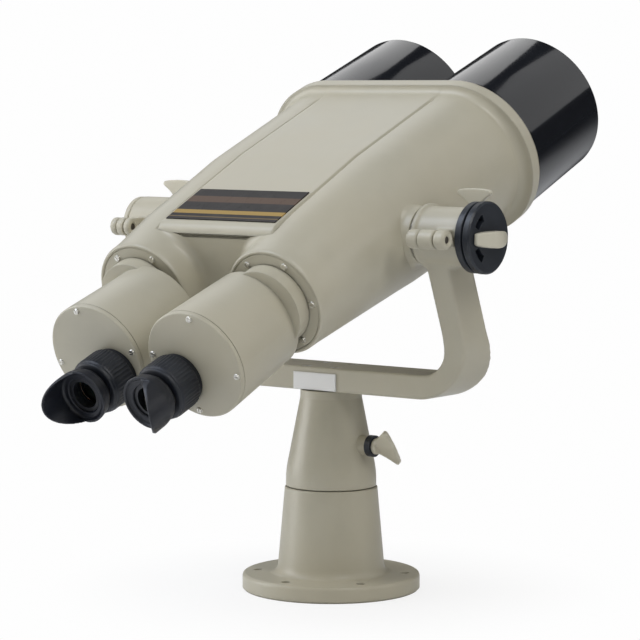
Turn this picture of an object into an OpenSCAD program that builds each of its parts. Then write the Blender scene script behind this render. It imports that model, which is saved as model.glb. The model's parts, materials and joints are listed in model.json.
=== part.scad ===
// Large twin-barrel observation binocular on a fork stand with a short bolt-down pedestal.
// Frame: origin at the centre of the base's underside, +Z up, -Y the viewer's side, +X the viewer's right.
// The optical head is drawn in its own frame, X across, Y forward along the barrels and Z up,
// then tilted about the trunnions.

/* [Stand] */
// Outer radius of the base flange
base_r = 87; // [80:1:100]
// Thickness of the base flange
base_t = 16; // [12:1:20]
// Radius of the anchor bolt circle
bolt_circle_r = 72.5; // [68:0.5:76]
// Radius of each anchor bolt hole
bolt_hole_r = 4.5; // [3:0.5:6]
// Number of anchor bolt holes
bolt_count = 6; // [4:1:8]
// Height of the seam between the fixed base and the swivelling column
seam_z = 101; // [95:1:105]
// Radius of the vertical spindle
spindle_r = 15; // [12:1:16]
// Height of the azimuth lock screw
lock_z = 144; // [140:1:150]

/* [Fork] */
// Height of the crossbar's underside
cross_z = 196.4; // [190:0.1:198]
// Thickness of the crossbar
cross_t = 23.6; // [20:0.1:26]
// Front-to-back depth of the crossbar
cross_depth = 52; // [48:1:60]
// Distance from the centre to an arm's inner face
arm_inner_x = 151; // [150:1:156]
// Thickness of an arm
arm_t = 25; // [24:1:30]
// Front-to-back depth of an arm
arm_depth = 41; // [38:1:44]
// Height of the tilt axis
pivot_z = 353.3; // [350:0.1:360]
// Set-back of the tilt axis behind the pedestal's axis
pivot_back = 47.5; // [46:0.5:50]
// Outer radius of the trunnion bearings
bearing_r = 27.3; // [26:0.1:32]

/* [Head] */
// Upward tilt of the barrels as stored
rest_tilt = 21.9; // [15:0.1:30]
// Half the spacing of the objective axes
obj_x = 77.4; // [77:0.1:80]
// Outer radius of a barrel at its rear end
barrel_rear_r = 51.6; // [50:0.1:53]
// Outer radius of a barrel amidships
barrel_mid_r = 64.2; // [62:0.1:66]
// Corner radius of the front rim
rim_r = 79.1; // [78:0.1:81]
// Thickness of the front rim
rim_t = 12.8; // [10:0.1:14]
// Distance from the tilt axis to the rim's front face
rim_u = 186.8; // [180:0.1:190]
// Length of an objective hood
hood_l = 128.9; // [110:0.1:140]
// Outer radius of a hood at the rim
hood_r = 76; // [75:0.1:77]
// Distance from the tilt axis back to the barrels' rear ends
rear_u = 151.8; // [150:0.1:154]

/* [Eyepiece end] */
// Half the spacing of the eyepieces as stored
eye_x = 38; // [37:0.1:40]
// Drop of the eyepiece axes below the objective axes
eye_drop = 26.6; // [25:0.1:28]
// Distance from the tilt axis back to the prism covers' rear faces
cover_u = 253.2; // [250:0.1:256]
// Outer radius of a prism housing at its rear
prism_r = 51.2; // [50:0.1:52]
// Outer radius of a focusing ring
ring_r = 26.5; // [24:0.5:27]
// Outer radius of an eyecup
cup_r = 25.5; // [23:0.5:27]

/* [Hidden] */

$fn = 96;
enamel = [0.75, 0.73, 0.67];
gloss_black = [0.06, 0.06, 0.08];
rubber_black = [0.08, 0.08, 0.09];
knob_grey = [0.16, 0.18, 0.20];
steel = [0.65, 0.66, 0.68];
bronze = [0.70, 0.52, 0.28];
glass = [0.55, 0.70, 0.72, 0.5];

fit = 0.05;       // radial running clearance of a shaft in its bore
gap = 0.3;        // clearance between surfaces that pass each other
eps = 0.01;

// Stand
column_z = seam_z + 0.8;
deck_z = 70;
washer_z = seam_z - 2;
collar_z = cross_z - 8;
bush_r = spindle_r + 4;
lock_shank_r = 5;
lock_boss_x = 47;
plate_size = [51, 1.2, 17];
grip_t = 5;        // thickness of a thumb screw's grip

// Fork
cross_top = cross_z + cross_t;
arm_outer_x = arm_inner_x + arm_t;
lean_z = 233;
lean = pivot_back / (pivot_z - lean_z);
pin_r = 20;                       // trunnion journal
bearing_x0 = 148;
bearing_x1 = 197;
shoulder_r = 30;                  // raised shoulder at the bearing's inner end
shoulder_t = 4.5;
outer_bend_r = 57;
inner_bend_r = 25;
hinge_back = 51.5;                // cap hinge axis behind the tilt axis
knuckle_r = 9;
hinge_pin_r = 3.5;
clamp_x = 179;
clamp_fwd = 30.5;
clamp_r = 4;
lug_r = 10;
lug_top = 17;
clamp_depth = 4.8;

// Head
pivot_y = -pivot_back;
wall = 4;
rim_rear_u = rim_u - rim_t;
cone_end_u = 22;
panel_half = 69;
panel_rear_u = -121;
panel_front_u = 166;
panel_rear_w = 58;
panel_mid_w = 69.3;
panel_front_w = 71.5;
panel_slope = atan2(panel_mid_w - panel_rear_w, cone_end_u - panel_rear_u);
belly_w = -44;
cell_r = 65.9;
lens_r = 62.5;
aperture_r = 60;
journal_x = 144;
disc_x0 = 198.2;
disc_x1 = 214.5;
disc_r = 33.3;
grip_turn = 68;

// Eyepiece end
housing_x = (obj_x + eye_x) / 2;
housing_w = -eye_drop / 2;
housing_front_u = -161;
cover_t = 5;
hub_r = 30;
neck_r = 38;
prism_half = 14;
prism_shift = 16.8;
flange_r = 47;
mount_r = 19;
ocular_r = 16.9;
ring_rear_u = -287;
cup_front_u = -294;
cup_floor_u = -301;
cup_rim_u = -303.5;
flap_u = -330;
flap_half = 23.5;     // half the width of an eyecup's flap at the rim
flap_turn = 4;    // how far the flap points below the horizontal

// Quadratic curve from a to c, pulled towards b, as n + 1 points
function curve(a, b, c, n = 6) =
    [for (i = [0:n]) let (t = i / n) (1 - t) * (1 - t) * a + 2 * t * (1 - t) * b + t * t * c];

// Outer outline of one barrel as [radius, distance forward]
barrel_outline = concat(
    [[barrel_rear_r, -rear_u], [barrel_rear_r + 0.5, -rear_u + 14]],
    curve([barrel_mid_r - 3, cone_end_u - 30], [barrel_mid_r, cone_end_u + 10],
        [barrel_mid_r, cone_end_u + 60]),
    curve([barrel_mid_r + 1, 135], [barrel_mid_r + 2, 165], [barrel_mid_r + 7, rim_rear_u]));

// Outline of one half of a fan-shaped grip as [sideways, along the screw]
function wing_side(neck, root, span, height) = concat(
    [[neck, 0]],
    curve([neck, root], [neck + 1, root + 5], [span - 1.5, height - 6]),
    curve([span - 0.5, height - 5], [span + 0.8, height - 2.5], [span - 2.5, height - 1.2], 4),
    curve([span * 0.6, height - 0.4], [span * 0.3, height], [0, height], 4));

// Ends of a cap hinge's three knuckles, sideways from the centre
function knuckle_x(side) = side > 0 ? [163.5, 176, 192.7, 205] : [167, 175, 183.5, 191.5];

module at_pivot() {
    translate([0, pivot_y, pivot_z]) children();
}

module in_head() {
    at_pivot() rotate([rest_tilt, 0, 0]) children();
}

// Places children with their +Z pointing forward on an axis of the head
module forward(x = 0, w = 0, u = 0) {
    in_head() translate([x, u, w]) rotate([-90, 0, 0]) children();
}

module sided(side) {
    if (side > 0) children();
    else mirror([1, 0, 0]) children();
}

// Turns children's +Z to point along +X
module sideways(x = 0) {
    translate([x, 0, 0]) rotate([0, 90, 0]) children();
}

module tube(r_out, r_in, h) {
    difference() {
        cylinder(r = r_out, h = h);
        translate([0, 0, -1]) cylinder(r = r_in, h = h + 2);
    }
}

module ring_of(count, r, phase = 0) {
    for (i = [0:count - 1]) rotate(phase + i * 360 / count) translate([r, 0, 0]) children();
}

// Thumb screw: neck and fan-shaped grip above z = 0, shank below
module thumb_screw(shank_r, shank_l, neck, root, span, height, turn = 0) {
    side = wing_side(neck, root, span, height);
    translate([0, 0, -shank_l]) cylinder(r = shank_r, h = shank_l + 1);
    cylinder(r1 = neck, r2 = neck - 0.6, h = root + 3);
    rotate(turn) rotate([90, 0, 0]) translate([0, 0, -grip_t / 2]) linear_extrude(grip_t)
        polygon(concat(side, [for (i = [len(side) - 2:-1:0]) [-side[i][0], side[i][1]]]));
}

// Pan-head screw with its head above z = 0
module pan_screw(shank_r, head_r, head_h, shank_l) {
    translate([0, 0, -shank_l]) cylinder(r = shank_r, h = shank_l + 0.5, $fn = 24);
    difference() {
        cylinder(r1 = head_r, r2 = head_r * 0.8, h = head_h, $fn = 24);
        translate([-head_r, -head_r * 0.14, head_h * 0.5]) cube([2 * head_r, head_r * 0.28, head_h]);
    }
}

module pedestal_base() {
    color(enamel) difference() {
        rotate_extrude() polygon(concat(
            [[36, 0], [base_r - 1.5, 0], [base_r, 1.5]],
            curve([base_r, base_t - 4], [base_r, base_t], [base_r - 4, base_t]),
            curve([60, base_t], [53, base_t], [52, base_t + 9]),
            [[45.4, seam_z - 1], [44.6, seam_z], [34, seam_z], [34, washer_z],
                [spindle_r + fit, washer_z], [spindle_r + fit, deck_z], [36, deck_z]]));
        translate([0, 0, -1]) ring_of(bolt_count, bolt_circle_r, -90)
            cylinder(r = bolt_hole_r, h = base_t + 2);
        ring_of(4, 22) translate([0, 0, deck_z - 1]) cylinder(r = 2.5, h = 13);
    }
}

module azimuth_spindle() {
    color(steel) difference() {
        union() {
            translate([0, 0, deck_z - 8]) cylinder(r = 30, h = 8);
            translate([0, 0, deck_z - 4]) cylinder(r = spindle_r, h = collar_z - deck_z + 4);
            translate([0, 0, collar_z - 1]) cylinder(r = 8, h = 7);
        }
        ring_of(4, 22) translate([0, 0, deck_z - 9]) cylinder(r = 2.8, h = 10);
    }
}

module spindle_screws() {
    color(steel) ring_of(4, 22) translate([0, 0, deck_z - 8]) rotate([180, 0, 0]) {
        translate([0, 0, -19]) cylinder(r = 2.4, h = 20);
        difference() {
            cylinder(r = 4.5, h = 4.5);
            translate([0, 0, 2]) cylinder(r = 2.2, h = 3, $fn = 6);
        }
    }
}

module thrust_washer() {
    color(bronze) translate([0, 0, washer_z]) tube(33.8, spindle_r + 0.5, column_z - washer_z);
}

module spindle_collar() {
    color(steel) translate([0, 0, collar_z]) tube(16.5, 8, 6);
}

module swivel_column() {
    color(enamel) difference() {
        union() {
            rotate_extrude() polygon(concat(
                [[bush_r, column_z], [43.6, column_z], [44.3, column_z + 0.8]],
                curve([44.2, 110], [43.9, 119], [41.9, 128]),
                [[30.2, cross_z - 8], [30, cross_z], [17.5, cross_z], [17.5, collar_z - 4],
                    [bush_r, collar_z - 4]]));
            translate([0, 0, lock_z]) sideways(30) cylinder(r = 9.5, h = lock_boss_x - 30);
        }
        translate([0, 0, column_z - 1]) cylinder(r = bush_r, h = collar_z - column_z - 3);
        translate([0, 0, lock_z]) sideways(spindle_r) cylinder(r = lock_shank_r + fit, h = 40);
        ring_of(4, 23.5, 45) translate([0, 0, cross_z - 16]) cylinder(r = 2.5, h = 20);
    }
}

module swivel_bushes() {
    color(bronze) for (z = [column_z + 2, collar_z - 26])
        translate([0, 0, z]) tube(bush_r, spindle_r + fit, 20);
}

module lock_collar() {
    color(knob_grey) translate([0, 0, lock_z]) sideways(lock_boss_x) tube(10.5, lock_shank_r + 0.2, 6);
}

module lock_screw() {
    color(enamel) translate([0, 0, lock_z]) sideways(lock_boss_x + 6 + gap)
        thumb_screw(lock_shank_r, lock_boss_x + 6 - spindle_r, 8, 1, 21, 23, 37);
}

// U outline of the fork seen from the front: straight sides, round lower corners
module u_outline(half, bottom, r) {
    for (s = [-1, 1]) translate([s * (half - r), bottom + r]) circle(r = r);
    translate([-half + r, bottom]) square([2 * (half - r), r + 1]);
    translate([-half, bottom + r]) square([2 * half, pivot_z - bottom]);
}

// Side outline of the fork: the deep crossbar narrows into arms that lean back
fork_side = concat(
    [[-cross_depth / 2, cross_z]],
    curve([-cross_depth / 2, cross_top], [-cross_depth / 2, cross_top + 26],
        [-lean * (262 - lean_z) - arm_depth / 2, 262]),
    [[pivot_y - arm_depth / 2, pivot_z], [pivot_y + arm_depth / 2, pivot_z]],
    curve([-lean * (262 - lean_z) + arm_depth / 2, 262], [cross_depth / 2 - 4, cross_top + 16],
        [cross_depth / 2, cross_top]),
    [[cross_depth / 2, cross_z]]);

module knuckle(x, i) {
    sideways(x[i]) cylinder(r = knuckle_r, h = x[i + 1] - x[i]);
}

// Solid of the bearing, hinge links and clamp lug on one side of the joint plane
module bearing_blank(x, upper) {
    sideways(bearing_x0) cylinder(r = bearing_r, h = bearing_x1 - bearing_x0);
    sideways(bearing_x0) cylinder(r = shoulder_r, h = shoulder_t);
    for (i = upper ? [1] : [0, 2])
        translate([x[i], -hinge_back, -8])
            cube([min(x[i + 1], bearing_x1) - x[i], hinge_back - pin_r - 4, 16]);
    translate([clamp_x, clamp_fwd, -lug_top]) cylinder(r = lug_r, h = 2 * lug_top);
    translate([clamp_x - lug_r, 0, -lug_top]) cube([2 * lug_r, clamp_fwd, 2 * lug_top]);
}

module fork() {
    color(enamel) difference() {
        union() {
            intersection() {
                translate([0, 60, 0]) rotate([90, 0, 0]) linear_extrude(180) difference() {
                    u_outline(arm_outer_x, cross_z, outer_bend_r);
                    u_outline(arm_inner_x, cross_top, inner_bend_r);
                }
                rotate([90, 0, 90]) translate([0, 0, -200]) linear_extrude(400) polygon(fork_side);
            }
            for (side = [-1, 1]) sided(side) at_pivot() {
                intersection() {
                    bearing_blank(knuckle_x(side), false);
                    translate([100, -100, -60]) cube([120, 200, 60]);
                }
                for (i = [0, 2]) translate([0, -hinge_back, 0]) knuckle(knuckle_x(side), i);
            }
        }
        for (side = [-1, 1]) let (x = knuckle_x(side)) sided(side) at_pivot() {
            sideways(bearing_x0 - 20) cylinder(r = pin_r + fit, h = 100);
            translate([0, -hinge_back, 0]) {
                sideways(x[0] - 5) cylinder(r = hinge_pin_r + fit, h = 70);
                sideways(x[1] - gap) cylinder(r = knuckle_r + 0.5, h = x[2] - x[1] + 2 * gap);
            }
            translate([clamp_x, clamp_fwd, -clamp_depth - 2]) cylinder(r = clamp_r + 0.5, h = 20);
        }
        ring_of(4, 23.5, 45) {
            translate([0, 0, cross_z - 1]) cylinder(r = 3, h = cross_t + 2);
            translate([0, 0, cross_top - 6.5]) cylinder(r = 5.2, h = 10);
        }
    }
}

module fork_screws() {
    color(steel) ring_of(4, 23.5, 45) translate([0, 0, cross_top - 6.5]) difference() {
        union() {
            translate([0, 0, -29]) cylinder(r = 2.4, h = 30);
            cylinder(r = 5, h = 6);
        }
        translate([0, 0, 3]) cylinder(r = 2.5, h = 4, $fn = 6);
    }
}

module fork_plate() {
    color("white") translate([-plate_size[0] / 2, -cross_depth / 2 - plate_size[1], cross_z + 1])
        cube(plate_size);
}

module bearing_cap(side) {
    x = knuckle_x(side);
    color(enamel) sided(side) at_pivot() difference() {
        union() {
            intersection() {
                bearing_blank(x, true);
                translate([100, -100, eps]) cube([120, 200, 60]);
            }
            intersection() {
                translate([0, -hinge_back, 0]) knuckle(x, 1);
                translate([x[1] + gap, -100, -60]) cube([x[2] - x[1] - 2 * gap, 200, 120]);
            }
        }
        sideways(bearing_x0 - 20) cylinder(r = pin_r + fit, h = 100);
        translate([0, -hinge_back, 0]) {
            sideways(x[0] - 5) cylinder(r = hinge_pin_r + fit, h = 70);
            for (i = [0, 2]) sideways(x[i] - gap)
                cylinder(r = knuckle_r + 0.5, h = x[i + 1] - x[i] + 2 * gap);
        }
        for (start = [x[1] - 1 + gap, x[2] - gap])
            translate([start, -hinge_back - 12, -1]) cube([1, 14, 14]);
        translate([clamp_x, clamp_fwd, -1]) cylinder(r = clamp_r + fit, h = 40);
    }
}

// Its ends lie sunk in the outer knuckles
module cap_hinge_pin(side) {
    x = knuckle_x(side);
    color(steel) sided(side) translate([0, pivot_y - hinge_back, pivot_z])
        sideways(x[0] + 2) cylinder(r = hinge_pin_r, h = x[3] - x[0] - 4);
}

module clamp_screw(side) {
    color(enamel) sided(side) translate([clamp_x, pivot_y + clamp_fwd, pivot_z + lug_top + gap])
        thumb_screw(clamp_r, lug_top + gap + clamp_depth, 4.6, 8, 18.5, 26);
}

// Solid between the barrels, with rear, top and belly faces
module web(inset) {
    rotate([90, 0, 90]) translate([0, 0, -60]) linear_extrude(120) polygon([
        [panel_rear_u - 3 + inset, belly_w + inset],
        [panel_rear_u - 3 + inset, panel_rear_w - 5 - inset],
        [cone_end_u, panel_mid_w - 4 - inset],
        [rim_rear_u + inset, panel_front_w - 2 - inset],
        [rim_rear_u + inset, belly_w - 12 + inset],
        [cone_end_u, belly_w - 8 + inset]]);
}

// Raised flat panel along the top of the housing, with rounded corners in plan
module panel() {
    intersection() {
        rotate([90, 0, 90]) translate([0, 0, -100]) linear_extrude(200) polygon(concat(
            [[panel_rear_u, 40]],
            curve([panel_rear_u, panel_rear_w - 6], [panel_rear_u, panel_rear_w],
                [panel_rear_u + 7, panel_rear_w + 0.5]),
            [[cone_end_u, panel_mid_w], [panel_front_u, panel_front_w], [panel_front_u, 40]]));
        linear_extrude(100) union() {
            translate([-panel_half, panel_rear_u])
                square([2 * panel_half, panel_front_u - panel_rear_u - 12]);
            translate([-panel_half + 12, panel_rear_u])
                square([2 * panel_half - 24, panel_front_u - panel_rear_u]);
            for (s = [-1, 1]) translate([s * (panel_half - 12), panel_front_u - 12]) circle(r = 12);
        }
    }
}

module barrel_solid(inset) {
    points = [for (p = barrel_outline) [p[0] - inset, p[1]]];
    rotate([-90, 0, 0]) rotate_extrude() polygon(concat(
        [[0, -rear_u - (inset > 0 ? 1 : 0)], [points[0][0], -rear_u - (inset > 0 ? 1 : 0)]],
        points,
        [[points[len(points) - 1][0], rim_rear_u + (inset > 0 ? 1 : 0)],
            [0, rim_rear_u + (inset > 0 ? 1 : 0)]]));
}

module main_housing() {
    color(enamel) in_head() difference() {
        union() {
            for (s = [-1, 1]) translate([s * obj_x, 0, 0]) barrel_solid(0);
            web(0);
            panel();
            for (side = [-1, 1]) sided(side) sideways(110) cylinder(r = 27, h = journal_x - 110);
        }
        for (s = [-1, 1]) translate([s * obj_x, 0, 0]) barrel_solid(wall);
        difference() {
            web(wall);
            for (s = [-1, 1]) translate([s * obj_x, 0, 0]) barrel_solid(0);
        }
    }
}

module top_plate() {
    color("black") in_head() translate([-64.5, panel_rear_u + 12, panel_rear_w + 0.95])
        rotate([panel_slope, 0, 0]) translate([0, 0, 0.02]) cube([129, 57.2, 1]);
}

module rim_outline() {
    for (s = [-1, 1]) translate([s * obj_x, 0]) circle(r = rim_r);
    translate([-obj_x, -rim_r]) square([2 * obj_x, 2 * rim_r]);
}

module front_rim() {
    color(enamel) forward(u = rim_rear_u) difference() {
        linear_extrude(rim_t) rim_outline();
        for (s = [-1, 1]) translate([s * obj_x, 0, -1]) cylinder(r = cell_r + fit, h = rim_t + 2);
        for (x = [-12, 12], y = [-66, 66]) translate([x, y, -1]) cylinder(r = 2.6, h = rim_t + 2, $fn = 24);
    }
}

module rim_screws() {
    color(steel) forward(u = rim_u) for (x = [-12, 12], y = [-66, 66])
        translate([x, y, 0]) pan_screw(2.5, 4.5, 2.5, 12);
}

module hood(side) {
    color(gloss_black) forward(side * obj_x, 0, rim_u) rotate_extrude() polygon([
        [hood_r, 0], [hood_r, 9], [hood_r - 0.6, 10], [hood_r - 2.6, hood_l - 1], [hood_r - 3.6, hood_l],
        [hood_r - 5, hood_l], [hood_r - 5.4, 12], [hood_r - 5.4, 0]]);
}

module objective_cell(side) {
    color(gloss_black) forward(side * obj_x, 0, rim_rear_u - 2) rotate_extrude() polygon([
        [aperture_r, 0], [cell_r, 0], [cell_r, rim_t + 2], [hood_r - 5.8, rim_t + 2],
        [hood_r - 5.8, rim_t + 6],
        [cell_r, rim_t + 6], [cell_r, rim_t + 12], [lens_r + fit, rim_t + 12], [lens_r + fit, 3],
        [aperture_r, 3]]);
}

// Biconvex doublet with a cylindrical edge
module objective_lens(side) {
    color(glass) forward(side * obj_x, 0, rim_rear_u + 1) rotate_extrude() polygon(concat(
        [[0, 0.6], [lens_r - 4, 0.6], [lens_r, 2]],
        [for (i = [0:8]) let (r = lens_r * (1 - i / 8)) [r, 12 + 5 * (1 - (r * r) / (lens_r * lens_r))]]));
}

module lens_retainer(side) {
    color(gloss_black) forward(side * obj_x, 0, rim_rear_u + 13.2) rotate_extrude() polygon([
        [aperture_r + 1.4, 0.4], [lens_r - fit, 0], [lens_r - fit, 4], [aperture_r - 0.4, 4]]);
}

module barrel_baffles() {
    color(gloss_black) for (s = [-1, 1]) {
        forward(s * obj_x, 0, 80) tube(barrel_mid_r - wall, 46, 2);
        forward(s * obj_x, 0, -30) tube(55.5, 35, 2);
    }
}

module trunnion(side) {
    color(steel) in_head() sided(side) difference() {
        union() {
            sideways(journal_x) cylinder(r = 25, h = 3);
            sideways(journal_x + 2) cylinder(r = pin_r, h = bearing_x1 - journal_x - 1.8);
        }
        if (side > 0) sideways(170) cylinder(r = lock_shank_r + fit, h = 40);
    }
}

module trunnion_end_cap() {
    color(enamel) in_head() sided(-1) sideways(bearing_x1 + gap) rotate_extrude() polygon(concat(
        [[0, 0], [26, 0], [27, 1], [27, 3]],
        curve([27, 5], [26, 6.8], [22, 7]),
        [[0, 7]]));
}

// Outer edge stepped by a groove; a pair of curved slots in the outer face
module tension_disc() {
    color(knob_grey) at_pivot() sideways(disc_x0) difference() {
        rotate_extrude() polygon([
            [lock_shank_r + fit, 0], [disc_r - 1.5, 0], [disc_r - 0.5, 1],
            [disc_r - 0.5, 6.5], [disc_r - 1, 7],
            [disc_r - 3, 7.5], [disc_r - 3, 9], [disc_r - 0.5, 9.5], [disc_r, 10],
            [disc_r, disc_x1 - disc_x0 - 1.5], [disc_r - 1.5, disc_x1 - disc_x0],
            [lock_shank_r + fit, disc_x1 - disc_x0]]);
        for (a = [-45, 45]) rotate(a - 90) translate([0, 0, 10]) intersection() {
            tube(24.5, 17.5, 20);
            linear_extrude(20) polygon([[0, 0], [40, -14], [40, 14]]);
        }
    }
}

module friction_washer() {
    color(bronze) at_pivot() sideways(bearing_x1 + 0.2)
        tube(bearing_r, lock_shank_r + 0.3, disc_x0 - bearing_x1 - 0.2);
}

// Leaf-shaped finger grip, broad in the middle and low at its ends
module tension_screw() {
    half = 25;
    color(enamel) in_head() sideways(disc_x1 + gap) {
        translate([0, 0, -38]) cylinder(r = lock_shank_r, h = 40);
        rotate(grip_turn) intersection() {
            linear_extrude(20) polygon(concat(
                curve([-half, 4.5], [-half * 0.8, 6.5], [0, 6.5]),
                curve([2, 6.5], [half * 0.7, 6.5], [half, 1.5]),
                curve([half, -3.5], [half * 0.5, -9], [0, -9]),
                curve([-2, -9], [-half * 0.8, -8], [-half, -5])));
            rotate([90, 0, 0]) translate([0, 0, -20]) linear_extrude(40) polygon(concat(
                [[-half - 1, 0]], curve([-half - 1, 3.5], [-half * 0.4, 12], [0, 12]),
                curve([0.5, 12], [half * 0.4, 12], [half + 1, 3.5]), [[half + 1, 0]]));
        }
    }
}

module rear_flange(side) {
    color(enamel) forward(side * obj_x, 0, -rear_u + 0.8) difference() {
        tube(flange_r + 0.55, hub_r + fit, 6);
        ring_of(6, 42) translate([0, 0, -1]) cylinder(r = 2.1, h = 8, $fn = 24);
    }
}

module rear_flange_screws() {
    color(steel) for (s = [-1, 1]) forward(s * obj_x, 0, -rear_u + 0.8) ring_of(6, 42)
        rotate([180, 0, 0]) pan_screw(2, 3.4, 1.6, 5.5);
}

// Offset drum with a pivot neck on the objective axis, drawn for the right side
module prism_housing(side) {
    length = cover_u + housing_front_u - cover_t;
    color(enamel) sided(side) difference() {
        union() {
            forward(housing_x, housing_w, housing_front_u - length)
                cylinder(r1 = prism_r, r2 = prism_r - 3.4, h = length);
            forward(obj_x, 0, housing_front_u - 6) cylinder(r = neck_r, h = -housing_front_u - rear_u + 5.6);
            forward(obj_x, 0, -rear_u - 2) cylinder(r = hub_r, h = 9.6);
        }
        forward(housing_x, housing_w, housing_front_u - length - 1)
            cylinder(r1 = prism_r - 3, r2 = prism_r - 6.4, h = length - 4);
        forward(obj_x, 0, housing_front_u - 5.5) cylinder(r = hub_r - 5, h = 40);
    }
}

module prism_cover(side) {
    color(enamel) sided(side) difference() {
        forward(housing_x, housing_w, -cover_u) rotate_extrude() polygon([
            [0, 0], [prism_r - 1, 0], [prism_r, 1], [prism_r, cover_t - 0.6],
            [prism_r - 0.6, cover_t], [0, cover_t]]);
        forward(eye_x, -eye_drop, -cover_u - 1) cylinder(r = mount_r - 2, h = cover_t + 2);
        forward(housing_x, housing_w, -cover_u - 1) ring_of(4, 46, 10)
            cylinder(r = 1.8, h = cover_t + 2, $fn = 24);
    }
    color(gloss_black) sided(side) forward(eye_x, -eye_drop, ring_rear_u + 2)
        tube(mount_r, mount_r - 2, -ring_rear_u - cover_u - 2 + eps);
}

module cover_screws(side) {
    color(steel) sided(side) forward(housing_x, housing_w, -cover_u) ring_of(4, 46, 10)
        rotate([180, 0, 0]) pan_screw(1.7, 3, 1.4, 4.5);
}

// Two right-angled glass blocks, turned a quarter turn from each other
module prisms(side) {
    swing = 180 - atan2(eye_drop, obj_x - eye_x);
    color(glass) sided(side) {
        forward(housing_x, housing_w, -cover_u + cover_t + 3) rotate(swing + 135)
            translate([prism_shift, 0, 0]) prism_block();
        forward(housing_x, housing_w, housing_front_u - 6) rotate(swing + 45)
            translate([prism_shift, 0, 0]) mirror([0, 0, 1]) prism_block();
    }
}

// Ridge along X at z = 0, entry face at z = 2 * prism_half
module prism_block() {
    length = 2 * prism_half;
    translate([prism_half, 0, 0]) rotate([0, -90, 0]) linear_extrude(length)
        polygon([[0, -3], [0, 3], [length - 2, length + 1], [length, length + 1],
            [length, -length - 1], [length - 2, -length - 1]]);
}

module focus_ring(side) {
    color(rubber_black) sided(side) forward(eye_x, -eye_drop, ring_rear_u) rotate_extrude() polygon([
        [mount_r + fit, 0], [ring_r - 2.5, 0], [ring_r - 1.5, 1], [ring_r - 1.5, 3.5], [ring_r - 0.5, 4.2],
        [ring_r, 5], [ring_r, -ring_rear_u - cover_u - 6.5], [ring_r - 1, -ring_rear_u - cover_u - 5.5],
        [ring_r - 2.5, -ring_rear_u - cover_u - 5], [ring_r - 2.5, -ring_rear_u - cover_u - gap],
        [mount_r + fit, -ring_rear_u - cover_u - gap]]);
}

module ocular(side) {
    color(gloss_black) sided(side) forward(eye_x, -eye_drop, cup_floor_u + 2) rotate_extrude() polygon([
        [13, 0], [22, 0], [22, 8], [ocular_r, 8], [ocular_r, 43], [14.5, 43], [14.5, 8], [13, 6]]);
}

// Soft round cup whose outer side carries on as a rounded flap
module eyecup(side) {
    length = cup_front_u - flap_u;
    rim = cup_rim_u - flap_u;
    floor_z = cup_floor_u - flap_u;
    color(rubber_black) sided(side) forward(eye_x, -eye_drop, flap_u) rotate(flap_turn) difference() {
        rotate_extrude() polygon(concat(
            [[22.02, length], [cup_r - 1.5, length]],
            curve([cup_r - 1, rim + 6], [cup_r - 0.2, rim + 3], [cup_r, rim]),
            [[cup_r + 0.5, 0], [cup_r - 1.6, 0]],
            curve([cup_r - 2.4, rim], [cup_r - 2.8, floor_z - 0.5], [cup_r - 5, floor_z]),
            [[17, floor_z], [16, floor_z + 1.8], [22.02, floor_z + 1.8]]));
        difference() {
            translate([0, 0, -1]) cylinder(r = cup_r + 10, h = rim + 1);
            rotate([90, 0, 90]) linear_extrude(cup_r + 20)
                polygon([for (i = [0:32]) [flap_half * cos(i * 11.25), rim * (1 + sin(i * 11.25) * 0.995)]]);
        }
    }
}

module eye_lens(side) {
    color(glass) sided(side) forward(eye_x, -eye_drop, cup_floor_u + 10) rotate_extrude() polygon(concat(
        [[0, 8], [14.4, 7], [14.4, 3]],
        [for (i = [1:6]) let (r = 14.4 * (1 - i / 6)) [r, 3 - 2 * (1 - r * r / 208)]]));
}

pedestal_base();
azimuth_spindle();
spindle_screws();
thrust_washer();
spindle_collar();
swivel_column();
swivel_bushes();
lock_collar();
lock_screw();
fork();
fork_screws();
fork_plate();
bearing_cap(-1);  // bearing_cap_left
bearing_cap(1);  // bearing_cap_right
cap_hinge_pin(-1);  // cap_hinge_pin_left
cap_hinge_pin(1);  // cap_hinge_pin_right
clamp_screw(-1);  // clamp_screw_left
clamp_screw(1);  // clamp_screw_right
main_housing();
top_plate();
front_rim();
rim_screws();
hood(-1);  // hood_left
hood(1);  // hood_right
objective_cell(-1);  // objective_cell_left
objective_cell(1);  // objective_cell_right
objective_lens(-1);  // objective_lens_left
objective_lens(1);  // objective_lens_right
lens_retainer(-1);  // lens_retainer_left
lens_retainer(1);  // lens_retainer_right
barrel_baffles();
trunnion(-1);  // trunnion_left
trunnion(1);  // trunnion_right
trunnion_end_cap();
tension_disc();
friction_washer();
tension_screw();
rear_flange(-1);  // rear_flange_left
rear_flange(1);  // rear_flange_right
rear_flange_screws();
prism_housing(-1);  // prism_housing_left
prism_housing(1);  // prism_housing_right
prism_cover(-1);  // prism_cover_left
prism_cover(1);  // prism_cover_right
cover_screws(-1);  // cover_screws_left
cover_screws(1);  // cover_screws_right
prisms(-1);  // prisms_left
prisms(1);  // prisms_right
focus_ring(-1);  // focus_ring_left
focus_ring(1);  // focus_ring_right
ocular(-1);  // ocular_left
ocular(1);  // ocular_right
eyecup(-1);  // eyecup_left
eyecup(1);  // eyecup_right
eye_lens(-1);  // eye_lens_left
eye_lens(1);  // eye_lens_right
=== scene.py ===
"""Studio scene of a twin-barrel observation binocular on a fork stand, dressed over its CAD frame."""
import json
import logging
import math
from dataclasses import dataclass
from enum import Enum
from typing import Sequence

import bpy
from mathutils import Matrix, Vector


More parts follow.
